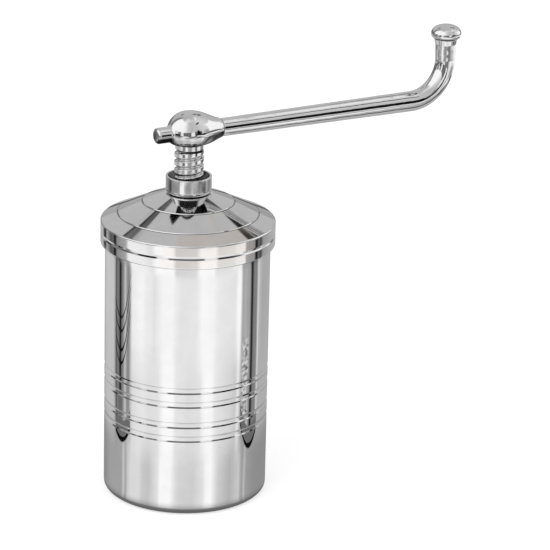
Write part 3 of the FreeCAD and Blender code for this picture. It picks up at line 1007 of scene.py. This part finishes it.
# Painted light and shade on the floor, by where a tube of the barrel's radius mirrors it, from its left
# edge (0) to its right (1)
foot_floor = [
    (0.0, 0.56), (0.03, 0.63), (0.11, 0.64), (0.124, 0.79), (0.131, 0.74), (0.138, 0.62), (0.15, 0.8),
    (0.172, 0.87), (0.225, 0.87), (0.25, 0.8), (0.288, 0.78), (0.345, 0.9), (0.36, 0.99), (0.42, 0.99),
    (0.437, 0.94), (0.455, 0.88), (0.48, 0.84), (0.56, 0.82), (0.62, 0.9), (0.64, 0.98), (0.67, 1.0),
    (0.69, 0.92), (0.715, 0.82), (0.785, 0.71), (0.83, 0.78), (0.845, 0.8), (0.858, 0.66), (0.868, 0.62),
    (0.88, 0.75), (0.89, 0.62), (0.94, 0.57), (1.0, 0.56),
]
middle_floor = [
    (0.0, 0.69), (0.02, 0.76), (0.06, 0.76), (0.07, 0.6), (0.165, 0.72), (0.178, 0.87), (0.209, 0.9),
    (0.245, 0.92), (0.283, 0.89), (0.339, 0.9), (0.357, 0.95), (0.376, 1.0), (0.428, 1.0), (0.449, 0.92),
    (0.504, 0.9), (0.522, 0.88), (0.594, 0.9), (0.612, 0.97), (0.63, 1.0), (0.667, 0.99), (0.685, 0.93),
    (0.704, 0.9), (0.777, 0.85), (0.81, 0.8), (0.825, 0.93), (0.838, 0.75), (0.848, 0.58), (0.94, 0.7),
    (1.0, 0.69),
]
upper_floor = [
    (0.0, 0.68), (0.015, 0.78), (0.06, 0.78), (0.07, 0.6), (0.165, 0.7), (0.176, 0.94), (0.221, 0.97),
    (0.239, 0.98), (0.258, 0.95), (0.294, 0.93), (0.313, 0.9), (0.331, 0.93), (0.367, 0.98),
    (0.421, 0.98), (0.439, 0.95), (0.475, 0.91), (0.565, 0.92), (0.601, 0.99), (0.673, 0.97),
    (0.691, 0.94), (0.72, 0.92), (0.799, 0.91), (0.817, 0.99), (0.831, 0.99), (0.842, 0.7), (0.94, 0.75),
    (0.96, 0.67), (1.0, 0.68),
]
skirt_floor = [
    (0.0, 0.72), (0.019, 0.68), (0.026, 0.1), (0.034, 0.12), (0.042, 0.66), (0.064, 0.32), (0.08, 0.4),
    (0.087, 0.06), (0.094, 0.06), (0.105, 0.56), (0.155, 0.65), (0.172, 0.96), (0.26, 0.95), (0.3, 0.9),
    (0.33, 1.0), (0.425, 1.0), (0.445, 0.84), (0.56, 0.86), (0.585, 1.0), (0.665, 1.0), (0.685, 0.88),
    (0.77, 0.9), (0.79, 0.95), (0.83, 0.95), (0.84, 0.64), (0.884, 0.6), (0.892, 0.08), (0.899, 0.08),
    (0.907, 0.42), (0.922, 0.26), (0.932, 0.6), (1.0, 0.72),
]
collar_floor = [
    (0.0, 0.72), (0.02, 0.62), (0.06, 0.48), (0.095, 0.25), (0.115, 0.25), (0.14, 0.54), (0.24, 0.55),
    (0.3, 0.62), (0.325, 0.98), (0.385, 1.0), (0.415, 0.74), (0.46, 0.57), (0.54, 0.58), (0.59, 0.74),
    (0.63, 0.52), (0.68, 0.46), (0.73, 0.45), (0.77, 0.54), (0.81, 0.4), (0.85, 0.34), (0.87, 0.4),
    (0.9, 0.68), (0.94, 0.5), (0.98, 0.6), (1.0, 0.72),
]
# The two painted dark bands beside the barrel's front, on the same scale
left_band = [
    (0.066, 0.72), (0.074, 0.34), (0.079, 0.38), (0.085, 0.5), (0.094, 0.42), (0.1, 0.04), (0.105, 0.04),
    (0.11, 0.42), (0.121, 0.55), (0.129, 0.7), (0.134, 0.8), (0.14, 0.64), (0.148, 0.55), (0.158, 0.55),
    (0.166, 0.74), (0.172, 0.93),
]
right_band = [
    (0.83, 0.95), (0.842, 0.7), (0.85, 0.65), (0.864, 0.7), (0.876, 0.64), (0.889, 0.64), (0.896, 0.36),
    (0.9, 0.05), (0.905, 0.05), (0.911, 0.46), (0.918, 0.52), (0.927, 0.48), (0.933, 0.62), (0.938, 0.86),
    (0.945, 0.76),
]
# Bowl-shaped dark marks on the left band: distance from and to, grey
left_bowls = [(0.191, 0.1955, 0.06), (0.2085, 0.2135, 0.05), (0.2355, 0.24, 0.08), (0.2555, 0.26, 0.1)]
# Farther out on the floor, by bearing
far_floor = [
    (-180, 0.63), (-165, 0.8), (-150, 0.6), (-136, 0.66), (-131, 0.2), (-108, 0.2), (-100, 0.6),
    (-60, 0.62), (-45, 0.66), (-32, 0.9), (-22, 0.85), (-8, 0.85), (5, 0.8), (18, 0.55), (30, 0.5),
    (55, 0.48), (68, 0.62), (80, 0.7), (95, 0.62), (112, 0.6), (124, 0.93), (165, 0.97), (172, 0.8),
    (180, 0.63),
]
screw_floor = [
    (-180, 0.6), (-145, 0.75), (-133, 0.74), (-110, 0.78), (-98, 0.66), (-83, 0.7), (-74, 0.88),
    (-62, 0.95), (-54, 0.8), (-47, 0.42), (-38, 0.3), (-31, 0.55), (-24, 0.98), (-13, 1.0), (-6, 0.66),
    (2, 0.56), (17, 0.6), (25, 0.76), (32, 1.0), (44, 1.0), (50, 0.8), (56, 0.2), (64, 0.22), (73, 0.92),
    (80, 1.0), (100, 1.0), (110, 0.5), (125, 0.3), (150, 0.5), (180, 0.6),
]
edge_floor = [
    (-180, 0.62), (-165, 0.8), (-150, 0.68), (-115, 0.7), (-102, 0.5), (-85, 0.38), (-38, 0.36),
    (-30, 0.55), (-20, 0.87), (2, 0.87), (10, 0.48), (46, 0.48), (54, 0.85), (75, 0.98), (95, 0.9),
    (105, 0.96), (165, 0.98), (175, 0.7), (180, 0.62),
]
horizon_floor = [
    (-180, 0.4), (-90, 0.4), (-78, 0.5), (-72, 0.75), (-66, 0.75), (-62, 0.15), (-39, 0.15), (-36, 0.93),
    (-24, 0.93), (-21, 0.42), (22, 0.42), (25, 0.93), (38, 0.93), (42, 0.15), (82, 0.15), (86, 0.5),
    (95, 0.4), (180, 0.4),
]
# Soft borders between low and high walls and under the ceiling, from and to (sine of the elevation)
wall_border = (0.17, 0.22)
ceiling_border = (0.89, 0.95)
border_waves = 14.0        # scale of the noise that bends these borders, and how far it bends them
border_wave_height = 0.12
# Softness of the boxes' edges, sideways in degrees and upwards
patch_softness = (1.5, 0.006)
warm_softness = (1.0, 0.004)
# Painted shade over the press: the space there is dark where steel sees it by way of other steel
overhead_bearings = (60.0, 90.0)
overhead_heights = (0.66, 0.8)
overhead_grey = 0.12

# Where each pattern of the floor takes over from the one before, in metres from the screw's axis
foot_zones = [(0.075, 0.13, middle_floor), (0.17, 0.26, upper_floor)]
lid_zones = [(0.338, 0.354, skirt_floor), (0.388, 0.446, collar_floor)]
outer_zones = [(0.456, 0.478, screw_floor), (0.515, 0.56, far_floor), (0.62, 0.75, edge_floor),
               (1.0, 1.2, horizon_floor)]

# The bands' black tips, with a paler rim round each: middle and curl of the parabola, and its distance
left_tip = (0.107, 5.6, 0.096)
right_tip = (0.905, 9.0, 0.0905)
left_band_edges = (0.071, 0.167)
right_band_edges = (0.842, 0.943)
tip_thickness = 0.006
rim_thickness = 0.019
tip_grey = 0.05
rim_grey = 0.42
left_bowls_middle = 0.105
left_bowls_curl = 20.0
left_line_edges = (0.094, 0.112)
left_line_end = (0.15, 0.16)
right_drift = 0.025        # how far towards the front the right band moves per metre of distance
right_shift = -0.0045
blotch_scales = (66.0, 230.0)
blotch_greys = [(0.35, 0.3), (0.62, 0.88)]
blotch_edges = (0.845, 0.884)
blotch_reach = (0.12, 0.235)
blotch_share = 0.8
band_softness = 0.003
bowl_softness = 0.001
tip_softness = 0.0008

# Painted light and painted shadow on the table: warmer light, and the darker line at the barrel's foot
warm_edges = (0.36, 0.9)
warm_reach = (0.365, 0.405)
warm_share = 0.8
warm_tint = (1.0, 0.94, 0.89, 1)
foot_shade_width = 0.014
foot_shade_grey = 0.4

second_mirroring = 0.75    # painted shade: share of its light that a reflection keeps each further time it is mirrored
seen_twice = (1.2, 1.8)    # between what is mirrored once and what is mirrored more often
floor_grey = (0.96, 0.96, 0.96, 1)
floor_roughness = 0.9
floor_glow = 0.6           # share of its own light in the floor that the eye sees
floor_half = 6.0
aim_height = 0.1


def warmer(wires, share, colour):
    """Colour that is a little warmer where the share is 1."""
    return wires.mix(share, colour, warm_tint, blend="MULTIPLY")


def faded(wires, path):
    """Strength of what is mirrored, with painted shade: steel in steel is darker each time, by a power of
    the share kept.
    """
    further = wires.math("MAXIMUM", wires.math("SUBTRACT", path.outputs["Glossy Depth"], 1.0), 0.0)
    return wires.math("POWER", second_mirroring, further)


def twice(wires, path):
    """1 for what is seen in steel by way of other steel."""
    return wires.steps(path.outputs["Glossy Depth"], *seen_twice)


def patched(wires, bearing, height, left, right, bottom, top, softness):
    """1 in a box of the studio's wall and 0 outside it."""
    sideways, upwards = softness
    return wires.times(wires.window(bearing, left, right, sideways),
                       wires.window(height, bottom, top, upwards))


def studio_sky():
    """World: plain white light, and for what steel mirrors a studio of soft boxes, dark gaps and a grey
    ceiling. The walls' borders go up and down with a slow noise."""
    world = bpy.data.worlds.new("studio")
    bpy.context.scene.world = world
    world.use_nodes = True
    wires = Wires(world.node_tree)
    background = world.node_tree.nodes["Background"]
    direction = wires.node("ShaderNodeTexCoord").outputs["Generated"]
    sideways = wires.dot(direction, tuple(to_right))
    towards = wires.dot(direction, tuple(to_camera))
    bearing = wires.times(wires.math("ARCTAN2", sideways, towards), 180 / math.pi)
    height = wires.split(direction)[2]
    ripple = wires.math("SUBTRACT", wires.noise(direction, border_waves, fine_detail), 0.5)
    uneven = wires.math("MULTIPLY_ADD", ripple, border_wave_height, height)
    compass = wires.math("MULTIPLY_ADD", bearing, 1 / 360, 0.5)
    colour = wires.ramp(compass, on_compass(low_walls))
    for border, stops in ((wall_border, high_walls), (ceiling_border, ceiling)):
        colour = wires.mix(wires.steps(uneven, *border), colour, wires.ramp(compass, on_compass(stops)))
    for left, right, bottom, top, grey in wall_patches:
        patch = patched(wires, bearing, height, left, right, bottom, top, patch_softness)
        colour = wires.mix(patch, colour, grey_colour(grey))
    for left, right, bottom, top in warm_patches:
        patch = patched(wires, bearing, height, left, right, bottom, top, warm_softness)
        colour = warmer(wires, patch, colour)
    path = wires.node("ShaderNodeLightPath")
    # Painted shade: the space over the press turns dark for rays that steel has mirrored more than once
    in_front = wires.steps(wires.math("ABSOLUTE", bearing), *overhead_bearings, 1.0, 0.0)
    above = wires.times(in_front, wires.steps(height, *overhead_heights))
    colour = wires.mix(wires.times(above, twice(wires, path)), colour, grey_colour(overhead_grey))
    wires.put(background.inputs["Color"], wires.mix(path.outputs["Is Glossy Ray"], WHITE, colour))
    wires.put(background.inputs["Strength"], faded(wires, path))


def bowl(wires, across, distance, middle, curl):
    """Distance lessened by a parabola about one place across, so that its rings are mirrored as bowls."""
    offset = wires.math("SUBTRACT", across, middle)
    return wires.math("SUBTRACT", distance, wires.times(wires.times(offset, offset), curl))


def left_band_light(wires, across, distance):
    """Dark band left of the front. Near the foot its blackest line is paler, and farther out it has four
    nested dark bowls."""
    light = wires.ramp(across, left_band)
    near_foot = wires.steps(distance, *left_line_end, 1.0, 0.0)
    line = wires.times(wires.window(across, *left_line_edges, band_softness), near_foot)
    light = wires.mix(line, light, grey_colour(rim_grey))
    bowls = bowl(wires, across, distance, left_bowls_middle, left_bowls_curl)
    for low, high, grey in left_bowls:
        light = wires.mix(wires.window(bowls, low, high, bowl_softness), light, grey_colour(grey))
    return light


def right_band_light(wires, across, distance):
    """Dark band right of the front. Farther out it lies nearer the front, and it has blotches of noise."""
    drift = wires.math("MULTIPLY_ADD", distance, right_drift, right_shift)
    light = wires.ramp(wires.math("ADD", across, drift), right_band)
    sideways, outwards = blotch_scales
    blotch_place = wires.join(wires.times(across, sideways), wires.times(distance, outwards), 0.0)
    blotches = wires.ramp(wires.noise(blotch_place, 1.0, wave_detail), blotch_greys)
    where = wires.times(wires.window(across, *blotch_edges, band_softness),
                        wires.window(distance, *blotch_reach, 0.01))
    return wires.mix(wires.times(where, blotch_share), light, blotches)


def side_bands(wires, colour, across, distance):
    """The two dark bands laid over the floor's colour. Each ends near the foot in a bowl-shaped black tip
    with a paler rim."""
    bands = (
        (left_band_light(wires, across, distance), left_tip, left_band_edges),
        (right_band_light(wires, across, distance), right_tip, right_band_edges),
    )
    for light, (middle, curl, bottom), edges in bands:
        tip = bowl(wires, across, distance, middle, curl)
        tip_end = bottom + tip_thickness
        rim_end = tip_end + rim_thickness
        light = wires.mix(wires.window(tip, tip_end, rim_end, 0.002), light, grey_colour(rim_grey))
        light = wires.mix(wires.window(tip, bottom, tip_end, tip_softness), light, grey_colour(tip_grey))
        inside = wires.times(wires.window(across, *edges, band_softness),
                             wires.steps(tip, bottom - tip_softness, bottom + 0.0002))
        colour = wires.mix(inside, colour, light)
    return colour


def zoned(wires, colour, distance, zones, scale):
    """Colour over which each zone's pattern fades in between two distances."""
    for start, end, stops in zones:
        colour = wires.mix(wires.steps(distance, start, end), colour, wires.ramp(scale, stops))
    return colour


def painted_table_light(wires, place):
    """Painted light and shade on a table: light and dark bands, as if lamps and screens threw them, painted
    for
    steel to mirror. They lie along the lines at which a tube of the barrel's radius mirrors each bearing:
    across is half of one plus the sine of the bearing over two less the radius's share of the distance."""
    wall = barrel_radius * MM
    sideways = wires.dot(place, tuple(to_right))
    towards = wires.dot(place, tuple(to_camera))
    distance = wires.length(sideways, towards)
    bearing = wires.math("ARCTAN2", sideways, towards)
    spread = wires.math("SUBTRACT", 2.0, wires.math("DIVIDE", wall, distance))
    swing = wires.math("DIVIDE", bearing, spread)
    swing = wires.math("MINIMUM", wires.math("MAXIMUM", swing, -math.pi / 2), math.pi / 2)
    across = wires.math("MULTIPLY_ADD", wires.math("SINE", swing), 0.5, 0.5)
    colour = wires.ramp(across, foot_floor)
    colour = zoned(wires, colour, distance, foot_zones, across)
    colour = side_bands(wires, colour, across, distance)
    colour = zoned(wires, colour, distance, lid_zones, across)
    compass = wires.math("MULTIPLY_ADD", bearing, 0.5 / math.pi, 0.5)
    compass_zones = [(start, end, on_compass(stops)) for start, end, stops in outer_zones]
    colour = zoned(wires, colour, distance, compass_zones, compass)
    # Painted light: a warmer pool on the table
    warmth = wires.times(wires.window(across, *warm_edges, 0.03),
                         wires.window(distance, *warm_reach, band_softness))
    colour = warmer(wires, wires.times(warmth, warm_share), colour)
    # Painted shadow: a darker line round the barrel's foot
    side = wires.times(wires.math("MULTIPLY_ADD", across, 2.0, -1.0), wall)
    side_square = wires.times(side, side)
    along = wires.math("SQRT", wires.math("SUBTRACT", wires.times(distance, distance), side_square))
    depth = wires.math("SQRT", wires.math("SUBTRACT", wall ** 2, side_square))
    from_wall = wires.math("SUBTRACT", along, depth)
    return wires.mix(wires.steps(from_wall, 0.0, foot_shade_width), grey_colour(foot_shade_grey), colour)


def floor_finish():
    """Matt pale floor with some light of its own, which shows the table's painted light and shade only to
    what mirrors it.
    """
    material = bpy.data.materials.new("pale_floor")
    material.use_nodes = True
    wires = Wires(material.node_tree)
    shader = material.node_tree.nodes["Principled BSDF"]
    output = material.node_tree.nodes["Material Output"]
    place = wires.node("ShaderNodeTexCoord").outputs["Object"]
    colour = painted_table_light(wires, place)
    path = wires.node("ShaderNodeLightPath")
    shader.inputs["Base Color"].default_value = floor_grey
    shader.inputs["Roughness"].default_value = floor_roughness
    shader.inputs["Specular IOR Level"].default_value = 0.0
    glow = wires.node("ShaderNodeEmission")
    wires.put(glow.inputs["Strength"], faded(wires, path))
    wires.put(glow.inputs["Color"], wires.mix(path.outputs["Is Glossy Ray"], WHITE, colour))
    share = wires.math("MAXIMUM", path.outputs["Is Glossy Ray"],
                       wires.times(path.outputs["Is Camera Ray"], floor_glow))
    blend = wires.node("ShaderNodeMixShader")
    wires.put(blend.inputs[0], share)
    wires.put(blend.inputs[1], shader.outputs[0])
    wires.put(blend.inputs[2], glow.outputs[0])
    wires.put(output.inputs["Surface"], blend.outputs[0])
    return material


def make_floor():
    """Flat square floor under the press."""
    half = floor_half
    corners = [(-half, -half, 0), (half, -half, 0), (half, half, 0), (-half, half, 0)]
    mesh = bpy.data.meshes.new("floor")
    mesh.from_pydata(corners, [], [(0, 1, 2, 3)])
    mesh.materials.append(floor_finish())
    floor = bpy.data.objects.new("floor", mesh)
    bpy.context.scene.collection.objects.link(floor)


def make_lamp(name, bearing, height, distance, size, power):
    """Soft square lamp that looks at the middle of the press, from a bearing in degrees off the camera's
    side."""
    data = bpy.data.lights.new(name, "AREA")
    data.size = size
    data.energy = power
    lamp = bpy.data.objects.new(name, data)
    turn_by = math.radians(bearing)
    level = to_camera * math.cos(turn_by) + to_right * math.sin(turn_by)
    lamp.location = level * distance + Vector((0, 0, height))
    aim = Vector((0, 0, aim_height)) - lamp.location
    lamp.rotation_euler = aim.to_track_quat("-Z", "Y").to_euler()
    lamp.visible_glossy = False
    bpy.context.scene.collection.objects.link(lamp)


barrel_steel = barrel_finish()
lid_steel = lid_finish()
collar_steel = collar_finish()
screw_steel = screw_finish()
hub_steel = hub_finish()
rod_steel = rod_finish()
knob_steel = knob_finish()
sheet_steel = sheet_finish()
nut_steel = nut_finish()
washer_brass = brass_finish()

make_barrel(barrel_steel)
make_lid(lid_steel)
make_collar(collar_steel)
make_screw(screw_steel)
make_hub(hub_steel)
make_rod(rod_steel)
make_knob(knob_steel)
make_piston(sheet_steel, nut_steel)
make_washer("lid_washer", "collar_washer", neck_radius + fit, "lid", sheet_steel)
make_washer("thrust_ring", "thrust_washer", journal_radius + fit, "crank", washer_brass)
make_washer("retaining_ring", "retaining_washer", journal_radius + fit, "crank", nut_steel)
make_hexagon_nut("lid_back_nut", "collar_back_nut", neck_radius + fit, "lid", nut_steel)
make_hexagon_nut("piston_nut", "retaining_nut", journal_radius + fit, "crank", nut_steel)
die_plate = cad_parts["die_plate"]
die_plate.data.materials.clear()
die_plate.data.materials.append(sheet_steel)

studio_sky()
make_floor()
make_lamp("key_lamp", bearing=-40, height=1.3, distance=0.9, size=0.9, power=9)
make_lamp("fill_lamp", bearing=55, height=1.0, distance=1.1, size=0.9, power=5)
make_camera()
scene = bpy.context.scene
scene.view_settings.view_transform = "Standard"
